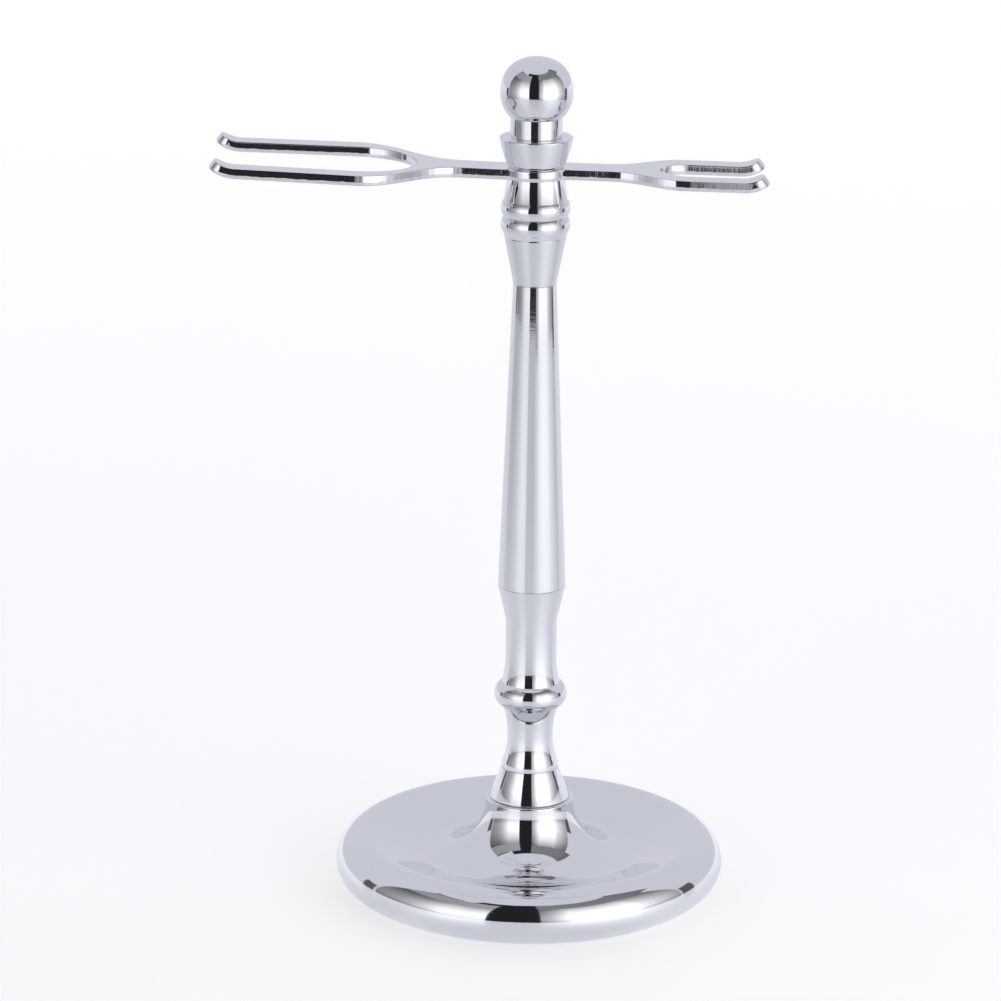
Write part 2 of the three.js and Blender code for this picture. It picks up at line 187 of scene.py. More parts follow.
# mesh fineness, in degrees where it is an angle
TURNED_SEGMENTS = 128
FASTENER_SEGMENTS = 96
HOLE_SEGMENTS = 48
THREAD_SEGMENTS = 32
THREAD_STEPS = 8
BALL_STEPS = 60
CURVE_STEPS = 14
ROUNDING_STEPS = 3
CRADLE_GAP = 0.35
ARC_STEP = 4.0
SHARP_ANGLE = 32
CRADLE_SHARP_ANGLE = 50


# ---------------------------------------------------------------- outlines


class Outline:
    """A drawn line of (x, y) points: straight runs, arcs in degrees, and Bezier curves."""

    SAME_POINT = 1e-4

    def __init__(self, x, y):
        self.points = [Vector((x, y))]

    def to(self, x, y):
        self.points.append(Vector((x, y)))
        return self

    def arc(self, x, y, size, start, end, height=None):
        """An arc about (x, y), or an elliptic one where a height is given."""
        height = size if height is None else height
        steps = max(2, math.ceil(abs(end - start) / ARC_STEP))
        for i in range(steps + 1):
            angle = math.radians(start + (end - start) * i / steps)
            point = Vector((x + size * math.cos(angle), y + height * math.sin(angle)))
            if (point - self.points[-1]).length > self.SAME_POINT:
                self.points.append(point)
        return self

    def curve(self, *controls):
        """A Bezier curve from the last point through the control points to the last of them."""
        ends = [self.points[-1]] + [Vector(c) for c in controls]
        for i in range(1, CURVE_STEPS + 1):
            row = ends
            while len(row) > 1:
                row = [a.lerp(b, i / CURVE_STEPS) for a, b in zip(row, row[1:])]
            self.points.append(row[0])
        return self


# ---------------------------------------------------------------- meshes


def new_object(name, data):
    obj = bpy.data.objects.new(name, data)
    bpy.context.scene.collection.objects.link(obj)
    return obj


def finish_mesh(bm, name, sharp=SHARP_ANGLE):
    bmesh.ops.recalc_face_normals(bm, faces=bm.faces)
    mesh = bpy.data.meshes.new(name)
    bm.to_mesh(mesh)
    bm.free()
    mesh.shade_smooth()
    mesh.set_sharp_from_angle(angle=math.radians(sharp))
    return mesh


def turned_mesh(name, points, segments=TURNED_SEGMENTS, wave=None):
    """Revolves (radius, height) points about +Z. Points on the axis become poles, and an outline
    that comes back to its first point becomes a ring. wave(angle, radius, height) may move a point."""
    bm = bmesh.new()
    closed = (points[0] - points[-1]).length < Outline.SAME_POINT
    if closed:
        points = points[:-1]
    rings = []
    for r, z in points:
        if r < 1e-6:
            rings.append([bm.verts.new((0, 0, z * MM))] * segments)
            continue
        ring = []
        for i in range(segments):
            angle = 2 * math.pi * i / segments
            radius_here, height_here = wave(angle, r, z) if wave else (r, z)
            x, y = radius_here * math.cos(angle), radius_here * math.sin(angle)
            ring.append(bm.verts.new((x * MM, y * MM, height_here * MM)))
        rings.append(ring)
    pairs = list(zip(rings, rings[1:]))
    if closed:
        pairs.append((rings[-1], rings[0]))
    for low, high in pairs:
        for i in range(segments):
            j = (i + 1) % segments
            corners = dict.fromkeys((low[i], low[j], high[j], high[i]))
            if len(corners) > 2:
                bm.faces.new(corners)
    return finish_mesh(bm, name)


def piece(mesh, name, node, body, slot_name, *materials):
    """Puts a mesh in the scene as the visible form of a CAD node."""
    obj = new_object(name, mesh)
    for material in materials:
        obj.data.materials.append(material)
    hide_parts(node)
    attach(obj, body)


# ---------------------------------------------------------------- materials


class Nodes:
    """A few shorthands for building a material's node tree."""

    def __init__(self, name):
        self.material = bpy.data.materials.new(name)
        self.material.use_nodes = True
        self.tree = self.material.node_tree
        self.shader = self.tree.nodes["Principled BSDF"]
        self.place = self.add("ShaderNodeTexCoord").outputs["Object"]

    def add(self, kind, **inputs):
        node = self.tree.nodes.new(kind)
        for name, value in inputs.items():
            self.feed(node.inputs[name.replace("_", " ")], value)
        return node

    def feed(self, socket, value):
        if isinstance(value, bpy.types.NodeSocket):
            self.tree.links.new(value, socket)
        else:
            socket.default_value = value

    def stretched(self, x, y, z):
        mapping = self.add("ShaderNodeMapping", Vector=self.place)
        mapping.inputs["Scale"].default_value = (x, y, z)
        return mapping.outputs["Vector"]

    def noise(self, scale, detail=3.0, vector=None, roughness=0.5):
        node = self.add("ShaderNodeTexNoise", Scale=scale, Detail=detail, Roughness=roughness)
        self.feed(node.inputs["Vector"], vector or self.place)
        return node.outputs["Fac"]

    def spread(self, value, low, high):
        """A 0 to 1 value as a number between low and high."""
        node = self.add("ShaderNodeMapRange")
        self.feed(node.inputs["Value"], value)
        node.inputs["To Min"].default_value = low
        node.inputs["To Max"].default_value = high
        return node.outputs["Result"]

    def blend(self, value, first, second):
        node = self.tree.nodes.new("ShaderNodeMix")
        node.data_type = "RGBA"
        self.feed(node.inputs["Factor"], value)
        node.inputs["A"].default_value = (*first, 1)
        node.inputs["B"].default_value = (*second, 1)
        return node.outputs["Result"]

    def bump(self, height, distance, strength=1.0, onto=None):
        node = self.add("ShaderNodeBump", Height=height)
        node.inputs["Distance"].default_value = distance
        self.feed(node.inputs["Strength"], strength)
        if onto is not None:
            self.feed(node.inputs["Normal"], onto)
        return node.outputs["Normal"]


def chrome():
    """Mirror plate, with the faint waviness, haze and turning lines of a polished and plated part."""
    n = Nodes("chrome")
    haze = n.noise(900, 2)
    lines = n.noise(1700, 3, n.stretched(0.03, 0.03, 1), 0.6)
    n.feed(n.shader.inputs["Base Color"], n.blend(n.noise(60, 2), (0.77, 0.775, 0.80), (0.80, 0.805, 0.83)))
    n.feed(n.shader.inputs["Roughness"], n.spread(haze, 0.04, 0.075))
    n.shader.inputs["Metallic"].default_value = 1.0
    wave = n.bump(n.noise(110, 1), 0.00002)
    turned = n.bump(lines, 0.0000022, 1.0, wave)
    n.feed(n.shader.inputs["Normal"], n.bump(haze, 0.0000012, 1.0, turned))
    return n.material


def sheared_chrome():
    """Chrome over a blanked edge: the upright drag marks of the press stay under the plate."""
    n = Nodes("sheared_chrome")
    marks = n.noise(1500, 4, n.stretched(1, 1, 0.12), 0.65)
    grain = n.noise(3800, 3)
    worn = n.spread(n.noise(55, 1), -0.7, 1.7)
    n.feed(n.shader.inputs["Base Color"], n.blend(marks, (0.74, 0.745, 0.77), (0.82, 0.825, 0.85)))
    n.feed(n.shader.inputs["Roughness"], n.spread(grain, 0.03, 0.12))
    n.shader.inputs["Metallic"].default_value = 1.0
    scored = n.bump(marks, 0.00004, worn)
    n.feed(n.shader.inputs["Normal"], n.bump(grain, 0.000008, worn, scored))
    return n.material


def zinc_steel():
    """Bright zinc on the screws and washers, clouded and finely scratched."""
    n = Nodes("zinc_steel")
    clouds = n.noise(260, 4)
    lines = n.noise(2400, 2, n.stretched(0.08, 1, 1))
    n.feed(n.shader.inputs["Base Color"], n.blend(clouds, (0.52, 0.53, 0.55), (0.66, 0.67, 0.69)))
    n.feed(n.shader.inputs["Roughness"], n.spread(clouds, 0.24, 0.42))
    n.shader.inputs["Metallic"].default_value = 1.0
    n.feed(n.shader.inputs["Normal"], n.bump(lines, 0.000012))
    return n.material


def cast_iron():
    """Sand-cast iron: a coarse skin, and a tone that wanders at random from near black to a trace of rust
    bloom.
    """
    n = Nodes("cast_iron")
    skin = n.noise(900, 6, roughness=0.65)
    bloom = n.noise(90, 3)
    n.feed(n.shader.inputs["Base Color"], n.blend(bloom, (0.045, 0.046, 0.048), (0.085, 0.072, 0.062)))
    n.feed(n.shader.inputs["Roughness"], n.spread(skin, 0.6, 0.9))
    n.shader.inputs["Metallic"].default_value = 0.6
    n.feed(n.shader.inputs["Normal"], n.bump(skin, 0.00025))
    return n.material


def foam_rubber():
    """Closed-cell foam rubber: dull, with the fine pores of a cut face."""
    n = Nodes("foam_rubber")
    pores = n.add("ShaderNodeTexVoronoi", Vector=n.place, Scale=1900.0).outputs["Distance"]
    dust = n.noise(70, 4)
    n.feed(n.shader.inputs["Base Color"], n.blend(dust, (0.020, 0.020, 0.022), (0.036, 0.036, 0.039)))
    n.feed(n.shader.inputs["Roughness"], n.spread(pores, 0.75, 0.95))
    n.feed(n.shader.inputs["Normal"], n.bump(pores, 0.00009))
    return n.material


CHROME = chrome()
SHEARED = sheared_chrome()
STEEL = zinc_steel()
IRON = cast_iron()
RUBBER = foam_rubber()


# ---------------------------------------------------------------- base


def base_shell():
    """The base, in one thin wall: a rolled rim, a dish that falls inward to the trumpet's foot,
    the trumpet, and the hub on top of it."""
    rim_r = BASE_RADIUS - RIM_RADIUS
    rim_low = RIM_HEIGHT - UNDERSIDE_GAP
    crest_end = 90 + DISH_SLOPE
    trumpet_r = HUB_RADIUS + TRUMPET_RADIUS
    trumpet_z = HUB_TOP - HUB_EDGE
    trumpet_start = 270 + DISH_SLOPE
    seat = HUB_TOP - HUB_PLATE
    inner = TRUMPET_RADIUS + WALL
    seat_angle = 180 + math.degrees(math.asin((trumpet_z - seat) / inner))
    outline = Outline(PAD_OPENING, UNDERSIDE_GAP + WALL)
    outline.to(PAD_OPENING, UNDERSIDE_GAP + EDGE).to(PAD_OPENING + EDGE, UNDERSIDE_GAP)
    outline.arc(rim_r, RIM_HEIGHT, RIM_RADIUS, -90, 0, rim_low)
    outline.arc(rim_r, RIM_HEIGHT, RIM_RADIUS, 0, crest_end)
    outline.arc(trumpet_r, trumpet_z, TRUMPET_RADIUS, trumpet_start, 180)
    outline.arc(HUB_RADIUS - HUB_EDGE, trumpet_z, HUB_EDGE, 0, 90)
    outline.to(HOLE_RADIUS, HUB_TOP).to(HOLE_RADIUS, seat)
    outline.arc(trumpet_r, trumpet_z, inner, seat_angle, trumpet_start)
    outline.arc(rim_r, RIM_HEIGHT, RIM_RADIUS - WALL, crest_end, 0)
    outline.arc(rim_r, RIM_HEIGHT, RIM_RADIUS - WALL, 0, -90, rim_low - WALL)
    outline.to(PAD_OPENING, UNDERSIDE_GAP + WALL)
    mesh = turned_mesh("base_shell", outline.points, 2 * TURNED_SEGMENTS)
    piece(mesh, "rolled_base", "base_shell", "stand", "chrome", CHROME)


def base_weight():
    """The iron ring, with rounded edges and the slightly uneven outer faces of a casting."""
    bore, flat_radius, edge, slope = 9.5, 19.5, 0.6, 17
    lumps_per_mm, unevenness = 0.35, 0.12
    low, high = PAD_TOP, top("base_weight")
    flat_top = high - (PAD_RADIUS - flat_radius) * math.tan(math.radians(slope))
    outline = Outline(bore, low + edge)
    outline.arc(bore + edge, low + edge, edge, 180, 270)
    outline.arc(PAD_RADIUS - edge, low + edge, edge, 270, 360)
    outline.arc(PAD_RADIUS - edge, high - 2 * edge, edge, 0, 90 + slope)
    outline.to(flat_radius, flat_top)
    outline.arc(bore + edge, flat_top - edge, edge, 90, 180)
    outline.to(bore, low + edge)

    def uneven(angle, r, z):
        if r <= flat_radius + 1:
            return r, z
        at = Vector((r * math.cos(angle), r * math.sin(angle), z)) * lumps_per_mm
        return r + unevenness * (noise.noise(at) - 1), z

    mesh = turned_mesh("base_weight", outline.points, TURNED_SEGMENTS, uneven)
    piece(mesh, "iron_weight", "base_weight", "stand", "iron", IRON)


def base_pad():
    """A foam disc, with a rounded edge and a shallow embossed ring on its underside."""
    edge = 0.5
    groove_radius, groove_width, groove_depth = 27.0, 0.9, 0.35
    outline = Outline(0, 0)
    outline.to(groove_radius - groove_width, 0)
    outline.curve((groove_radius - groove_width / 2, 0), (groove_radius, 2 * groove_depth),
                  (groove_radius + groove_width / 2, 0), (groove_radius + groove_width, 0))
    outline.arc(PAD_RADIUS - edge, edge, edge, 270, 360)
    outline.to(PAD_RADIUS, PAD_TOP).to(0, PAD_TOP)
    mesh = turned_mesh("base_pad", outline.points)
    piece(mesh, "foam_pad", "base_pad", "stand", "rubber", RUBBER)


# ---------------------------------------------------------------- column


def hollow_bottom(face, depth):
    """The start of an outline with a blind screw hole in its bottom face."""
    return Outline(0, face + depth).to(HOLE_RADIUS, face + depth).to(HOLE_RADIUS, face)


def hollow_top(outline, face, depth):
    """The end of an outline with a blind screw hole in its top face."""
    return outline.to(HOLE_RADIUS, face).to(HOLE_RADIUS, face - depth).to(0, face - depth)


def round_edge(outline, r, z, size, top_side):
    """A rounded edge at radius r and height z, from the bottom face or onto the top face."""
    if top_side:
        return outline.arc(r - size, z - size, size, 0, 90)
    return outline.arc(r - size, z + size, size, 270, 360)


def foot_cone():
    """The cone between the base and the turned foot, open for the bolt."""
    outline = Outline(HOLE_RADIUS, HUB_TOP)
    round_edge(outline, CONE_BOTTOM_RADIUS, HUB_TOP, 2 * EDGE, False)
    outline.to(CONE_TOP_RADIUS, CONE_TOP).to(HOLE_RADIUS, CONE_TOP).to(HOLE_RADIUS, HUB_TOP)
    mesh = turned_mesh("foot_cone", outline.points)
    piece(mesh, "flared_foot_cone", "foot_cone", "stand", "chrome", CHROME)


def column_foot():
    """The foot, from the bottom: a waist, a cup, a large bead, a neck and the widening under the shaft."""
    bead_r = BIG_BEAD_OUTER - BIG_BEAD_RADIUS
    neck_low, neck_high = NECK_HEIGHTS
    outline = hollow_bottom(CONE_TOP, top("base_bolt") + SCREW_ROOM - CONE_TOP)
    outline.to(FOOT_RADIUS - 0.1, CONE_TOP).to(FOOT_RADIUS, CONE_TOP + 1)
    outline.curve((WAIST_RADIUS, WAIST_HEIGHT - 2.6), (WAIST_RADIUS, WAIST_HEIGHT))
    outline.curve((WAIST_RADIUS, WAIST_HEIGHT + 3.3), (CUP_RADIUS, CUP_HEIGHT))
    outline.arc(bead_r, BIG_BEAD_HEIGHT, BIG_BEAD_RADIUS, *BIG_BEAD_ANGLES)
    outline.to(FLARE_RADIUS, FLARE_HEIGHT).to(NECK_RADIUS, neck_low).to(NECK_RADIUS, neck_high)
    outline.to(SHAFT_BOTTOM_RADIUS, FOOT_TOP - EDGE).to(SHAFT_BOTTOM_RADIUS - EDGE, FOOT_TOP)
    hollow_top(outline, FOOT_TOP, FOOT_TOP - bottom("foot_stud") + SCREW_ROOM)
    mesh = turned_mesh("column_foot", outline.points)
    piece(mesh, "turned_foot", "column_foot", "stand", "chrome", CHROME)


def column_shaft():
    """The long taper, with the same screw hole at both ends."""
    depth = top("foot_stud") + SCREW_ROOM - FOOT_TOP
    outline = hollow_bottom(FOOT_TOP, depth)
    round_edge(outline, SHAFT_BOTTOM_RADIUS, FOOT_TOP, EDGE, False)
    round_edge(outline, SHAFT_TOP_RADIUS, SHAFT_TOP, EDGE, True)
    hollow_top(outline, SHAFT_TOP, depth)
    mesh = turned_mesh("column_shaft", outline.points)
    piece(mesh, "tapered_shaft", "column_shaft", "stand", "chrome", CHROME)


def column_cap():
    """The cap: a taper that ends in a fine groove, two beads, and a plain top that carries the cradle."""
    bead_r = CAP_BEAD_OUTER - CAP_BEAD_RADIUS
    groove_low, groove_high = GROOVE_HEIGHT - 0.2, GROOVE_HEIGHT + 0.2
    outline = hollow_bottom(SHAFT_TOP, top("cap_stud") + SCREW_ROOM - SHAFT_TOP)
    outline.to(SHAFT_TOP_RADIUS - EDGE, SHAFT_TOP).to(SHAFT_TOP_RADIUS, SHAFT_TOP + EDGE)
    outline.to(GROOVE_RADIUS + 0.08, groove_low).to(GROOVE_RADIUS, GROOVE_HEIGHT)
    outline.to(GROOVE_RADIUS + 0.17, groove_high)
    for height in CAP_BEAD_HEIGHTS:
        outline.arc(bead_r, height, CAP_BEAD_RADIUS, -CAP_BEAD_ANGLE, CAP_BEAD_ANGLE)
    outline.to(CAP_TOP_RADIUS, CRADLE_BOTTOM)
    hollow_top(outline, CRADLE_BOTTOM, CRADLE_BOTTOM - bottom("finial_stud") + SCREW_ROOM)
    mesh = turned_mesh("column_cap", outline.points)
    piece(mesh, "beaded_cap", "column_cap", "stand", "chrome", CHROME)


# ---------------------------------------------------------------- finial


def finial_collar():
    """The bell that presses on the cradle."""
    edge = 2 * EDGE
    outline = Outline(HOLE_RADIUS, CRADLE_TOP)
    outline.to(COLLAR_BOTTOM_RADIUS - EDGE, CRADLE_TOP).to(COLLAR_BOTTOM_RADIUS, CRADLE_TOP + EDGE)
    outline.curve(COLLAR_MIDDLE, (COLLAR_TOP_RADIUS, COLLAR_TOP - edge))
    outline.arc(COLLAR_TOP_RADIUS - edge, COLLAR_TOP - edge, edge, 0, 90)
    outline.to(HOLE_RADIUS, COLLAR_TOP).to(HOLE_RADIUS, CRADLE_TOP)
    mesh = turned_mesh("finial_collar", outline.points)
    piece(mesh, "bell_collar", "finial_collar", "collar", "chrome", CHROME)


def finial_ball():
    """A ball a little flattened at the top: a superellipse turned about the axis."""
    power = 2 / BALL_FULLNESS
    neck_angle = -math.acos((FINIAL_NECK_RADIUS / BALL_RADIUS) ** (1 / power))
    outline = hollow_bottom(COLLAR_TOP, top("finial_stud") + SCREW_ROOM - COLLAR_TOP)
    outline.to(FINIAL_NECK_RADIUS - EDGE, COLLAR_TOP).to(FINIAL_NECK_RADIUS, COLLAR_TOP + EDGE)
    for i in range(BALL_STEPS + 1):
        angle = neck_angle + (math.pi / 2 - neck_angle) * i / BALL_STEPS
        out, up = max(0, math.cos(angle)) ** power, abs(math.sin(angle)) ** power
        outline.to(BALL_RADIUS * out, BALL_HEIGHT + math.copysign(BALL_HALF_HEIGHT * up, angle))
    mesh = turned_mesh("finial_ball", outline.points)
    piece(mesh, "ball_finial", "finial_ball", "knob", "chrome", CHROME)


# ---------------------------------------------------------------- fasteners


def thread_radius(angle, height):
    """The radius of a right-handed thread at that angle and height: sloping flanks between a
    flat root and a flat crest."""
    steepness, root = 2.6, 0.2
    phase = (height / THREAD_PITCH - angle / (2 * math.pi)) % 1
    share = min(1, max(0, steepness * abs(phase - 0.5) - root))
    return THREAD_RADIUS - THREAD_DEPTH * (1 - share)


def threaded_rod(low, high):
    """Outline and wave of a threaded rod with chamfered ends."""
    steps = math.ceil((high - low) / (THREAD_PITCH / THREAD_STEPS))
    outline = Outline(0, low)
    for i in range(steps + 1):
        outline.to(THREAD_RADIUS, low + (high - low) * i / steps)
    outline.to(0, high)

    def wave(angle, r, z):
        chamfer = THREAD_RADIUS - THREAD_CHAMFER + min(z - low, high - z)
        return min(thread_radius(angle, z), chamfer), z

    return outline.points, wave


def stud(node, body):
    points, wave = threaded_rod(bottom(node), top(node))
    mesh = turned_mesh(node, points, THREAD_SEGMENTS, wave)
    piece(mesh, node + "_threaded", node, body, "steel", STEEL)


def base_bolt():
    """A hexagon bolt: the head's corners are cut back by its two chamfers."""
    head_low, tip = bottom("base_bolt"), top("base_bolt")
    head_high = head_low + HEAD_HEIGHT
    half = HEAD_ACROSS_FLATS / 2
    corner = half * 1.155
    outline = Outline(0, head_low)
    outline.to(half * 0.94, head_low).to(corner, head_low + 0.5)
    outline.to(corner, head_high - 0.3).to(half * 1.03, head_high).to(THREAD_RADIUS, head_high)
    points, _ = threaded_rod(head_high, tip)
    outline.points += points[2:]

    def shape(angle, r, z):
        if z <= head_high + 1e-6:
            side = (angle + math.pi / 6) % (math.pi / 3) - math.pi / 6
            return min(r, half / math.cos(side)), z
        return min(thread_radius(angle, z), THREAD_RADIUS - THREAD_CHAMFER + tip - z), z

    mesh = turned_mesh("base_bolt", outline.points, FASTENER_SEGMENTS, shape)
    piece(mesh, "hexagon_bolt", "base_bolt", "stand", "steel", STEEL)


def bolt_washer():
    """A flat washer, with its outer edges rounded."""
    edge = 0.12
    low, high, outer = bottom("bolt_washer"), top("bolt_washer"), radius("bolt_washer")
    outline = Outline(HOLE_RADIUS, low)
    outline.arc(outer - edge, low + edge, edge, 270, 360)
    outline.arc(outer - edge, high - edge, edge, 0, 90)
    outline.to(HOLE_RADIUS, high).to(HOLE_RADIUS, low)
    mesh = turned_mesh("bolt_washer", outline.points)
    piece(mesh, "flat_washer", "bolt_washer", "stand", "steel", STEEL)


def lock_washer():
    """A spring washer: a square section round a circle, with a slanted slit."""
    low, high, outer = bottom("lock_washer"), top("lock_washer"), radius("lock_washer")
    edge, slit, slant = 0.1, 0.4, 0.5
    section = ((HOLE_RADIUS + edge, low), (outer - edge, low), (outer, low + edge), (outer, high - edge),
               (outer - edge, high), (HOLE_RADIUS + edge, high), (HOLE_RADIUS, high - edge),
               (HOLE_RADIUS, low + edge))
    middle = (low + high) / 2
    bm = bmesh.new()
    rings = []
    for i in range(FASTENER_SEGMENTS + 1):
        ring = []
        for r, z in section:
            lean = slant * (z - middle) / (high - low)
            start = (slit + lean) / r
            end = 2 * math.pi - (slit - lean) / r
            angle = start + (end - start) * i / FASTENER_SEGMENTS
            ring.append(bm.verts.new((r * math.cos(angle) * MM, r * math.sin(angle) * MM, z * MM)))
        rings.append(ring)
    for near, far in zip(rings, rings[1:]):
        for i in range(len(section)):
            j = (i + 1) % len(section)
            bm.faces.new((near[i], near[j], far[j], far[i]))
    bm.faces.new(rings[0])
    bm.faces.new(rings[-1])
    piece(finish_mesh(bm, "lock_washer"), "spring_washer", "lock_washer", "stand", "steel", STEEL)


# ---------------------------------------------------------------- cradle


def cradle_half():
    """One half of the cradle's outline, from the brush slot round both tips to the razor slot."""
    brush_half = (BRUSH_TIP_HALF_WIDTH - BRUSH_SLOT_TIP_HALF) / 2
    brush_middle = (BRUSH_TIP_HALF_WIDTH + BRUSH_SLOT_TIP_HALF) / 2
    razor_half = (RAZOR_HALF_WIDTH - RAZOR_SLOT_TIP_HALF) / 2
    razor_middle = (RAZOR_HALF_WIDTH + RAZOR_SLOT_TIP_HALF) / 2
    boss = math.radians(BOSS_BLEND_ANGLE)
    outline = Outline(BRUSH_SLOT_X + BRUSH_SLOT_RADIUS, 0)
    outline.arc(BRUSH_SLOT_X, 0, BRUSH_SLOT_RADIUS, 0, 90)
    outline.arc(BRUSH_TIP_X + brush_half, brush_middle, brush_half, 270, 90)
    outline.to(BRUSH_SHOULDER_X, BRUSH_HALF_WIDTH)
    outline.curve((BRUSH_BEND_X[0], BRUSH_HALF_WIDTH), (BRUSH_BEND_X[1], CRADLE_WAIST),
                  (BRUSH_WAIST_X, CRADLE_WAIST))
    outline.to(-BOSS_RADIUS * math.cos(boss), BOSS_RADIUS * math.sin(boss))
    outline.arc(0, 0, BOSS_RADIUS, 180 - BOSS_BLEND_ANGLE, BOSS_BLEND_ANGLE)
    outline.to(RAZOR_WAIST_X, CRADLE_WAIST)
    outline.curve((RAZOR_BEND_X[0], CRADLE_WAIST), (RAZOR_BEND_X[1], RAZOR_HALF_WIDTH),
                  (RAZOR_SHOULDER_X, RAZOR_HALF_WIDTH))
    outline.arc(RAZOR_TIP_X - razor_half, razor_middle, razor_half, 90, -90)
    outline.arc(RAZOR_SLOT_X, 0, RAZOR_SLOT_RADIUS, 90, 180)
    return outline.points


def respaced(points, gap):
    """The same closed line, with extra points so that no two are further apart than the gap."""
    result = []
    for a, b in zip(points, points[1:] + points[:1]):
        steps = max(1, math.ceil((b - a).length / gap))
        result += [a.lerp(b, i / steps) for i in range(steps)]
    return result


def outward(points):
    """The outward direction at each point of an anticlockwise closed line."""
    result = []
    for before, after in zip(points[-1:] + points[:-1], points[1:] + points[:1]):
        along = (after - before).normalized()
        result.append(Vector((along.y, -along.x)))
    return result


def arm_rise(x):
    """How far the brush arm has risen or the razor arm has fallen at x, past the flat boss."""
    past = max(0, abs(x) - BOSS_RADIUS)
    slope = BRUSH_ARM_SLOPE if x < 0 else -RAZOR_ARM_SLOPE
    return past * math.tan(math.radians(slope))


def turn_up(x, z):
    """Bends a point of the flat cradle, z above its top face, up towards the tips."""
    side = 1 if x > 0 else -1
    start = RAZOR_TIP_X - UPTURN_RUN if x > 0 else -BRUSH_TIP_X - UPTURN_RUN
    past = abs(x) - start
    if past <= 0:
        return x, CRADLE_TOP + z + arm_rise(x)
    full = math.radians(UPTURN_ANGLE)
    straight = UPTURN_RUN - (UPTURN_RADIUS + CRADLE_THICKNESS) * math.sin(full)
    past *= (UPTURN_RADIUS * full + straight / math.cos(full)) / UPTURN_RUN
    angle = min(full, past / UPTURN_RADIUS)
    beyond = (past - UPTURN_RADIUS * angle) if angle == full else 0
    arm = UPTURN_RADIUS - z
    along = start + arm * math.sin(angle) + beyond * math.cos(angle)
    height = CRADLE_TOP + UPTURN_RADIUS - arm * math.cos(angle) + beyond * math.sin(angle)
    return side * along, height + arm_rise(side * along)


def cradle_edge():
    """The section of the cradle's edge from its top face down, as (distance outward, height,
    raggedness) rows, and the numbers of the rows where a strip of blanked surface starts. Under the
    rounded corner the press sheared the metal smoothly, and lower down it broke away roughly."""
    thickness, lean, rounding = CRADLE_THICKNESS, SHEARED_LEAN, FACE_ROUNDING
    face = -lean - rounding - FACE_MARGIN
    rows = [(face, 0.0, 0.0)]
    for i in range(ROUNDING_STEPS + 1):
        angle = math.radians(90 - 90 * i / ROUNDING_STEPS)
        rows.append((-lean - rounding * (1 - math.cos(angle)), -rounding * (1 - math.sin(angle)), 0.0))
    blanked_from = len(rows) - 1
    rows += [(-0.9 * lean, -0.14 * thickness, 0.0), (-0.1 * lean, -0.62 * thickness, 0.1)]
    rows += [(0.0, -0.68 * thickness, 0.3), (-0.06, -0.76 * thickness, 0.3), (-0.10, -0.90 * thickness, 0.1)]
    rows += [(-0.16, 0.05 - thickness, 0.0)]
    blanked_to = len(rows) - 1
    rows += [(-0.26, -thickness, 0.0), (face - 0.1, -thickness, 0.0)]
    return rows, range(blanked_from, blanked_to)


def cradle_plate():
    """The cradle: its edge section carried round the outline, and two faces pierced for the stud."""
    rows, blanked_rows = cradle_edge()
    half = cradle_half()
    lower = [Vector((p.x, -p.y)) for p in half]
    outline = respaced(lower + half[::-1][1:-1], CRADLE_GAP)
    away = outward(outline)
    turns = [2 * math.pi * i / HOLE_SEGMENTS for i in range(HOLE_SEGMENTS)]
    hole = [Vector((HOLE_RADIUS * math.cos(a), -HOLE_RADIUS * math.sin(a))) for a in turns]
    lumps_per_mm = 1.1
    bm = bmesh.new()

    def add(point, z):
        x, height = turn_up(point.x, z)
        return bm.verts.new((x * MM, point.y * MM, height * MM))

    def ring_of(distance, z, raggedness):
        ring = []
        for point, direction in zip(outline, away):
            wobble = raggedness * noise.noise(Vector((point.x, point.y, z)) * lumps_per_mm)
            ring.append(add(point + direction * distance, z + wobble))
        return ring

    def skin(first, second, material_index):
        for i in range(len(first)):
            j = (i + 1) % len(first)
            face = bm.faces.new((first[i], first[j], second[j], second[i]))
            face.material_index = material_index

    def cap(outer, inner, flip):
        """Fills between an outer ring and the screw hole."""
        face_distance = rows[0][0]
        flat = [p + d * face_distance for p, d in zip(outline, away)] + hole
        loops = ((0, len(outer)), (len(outer), len(inner)))
        edges = [(start + i, start + (i + 1) % count) for start, count in loops for i in range(count)]
        points, _, triangles, sources, _, _ = delaunay_2d_cdt(flat, edges, [], 1, 1e-6)
        verts = outer + inner
        used = [verts[source[0]] for source in sources]
        for triangle in triangles:
            centre = sum((points[i] for i in triangle), Vector((0, 0))) / 3
            if centre.length > HOLE_RADIUS * math.cos(math.pi / HOLE_SEGMENTS):
                corners = [used[i] for i in triangle]
                bm.faces.new(corners[::-1] if flip else corners)

    made = [ring_of(*row) for row in rows]
    for i, (first, second) in enumerate(zip(made, made[1:])):
        skin(first, second, 1 if i in blanked_rows else 0)
    hole_top = [add(p, 0) for p in hole]
    hole_bottom = [add(p, -CRADLE_THICKNESS) for p in hole]
    skin(hole_top, hole_bottom, 0)
    cap(made[0], hole_top, False)
    cap(made[-1], hole_bottom, True)
    mesh = finish_mesh(bm, "cradle_plate", CRADLE_SHARP_ANGLE)
    piece(mesh, "slotted_cradle", "cradle_plate", "cradle", "chrome", CHROME, SHEARED)


# ---------------------------------------------------------------- studio

STUDIO_TURN = Matrix.Rotation(math.radians(CAMERA_TURN), 4, "Z")


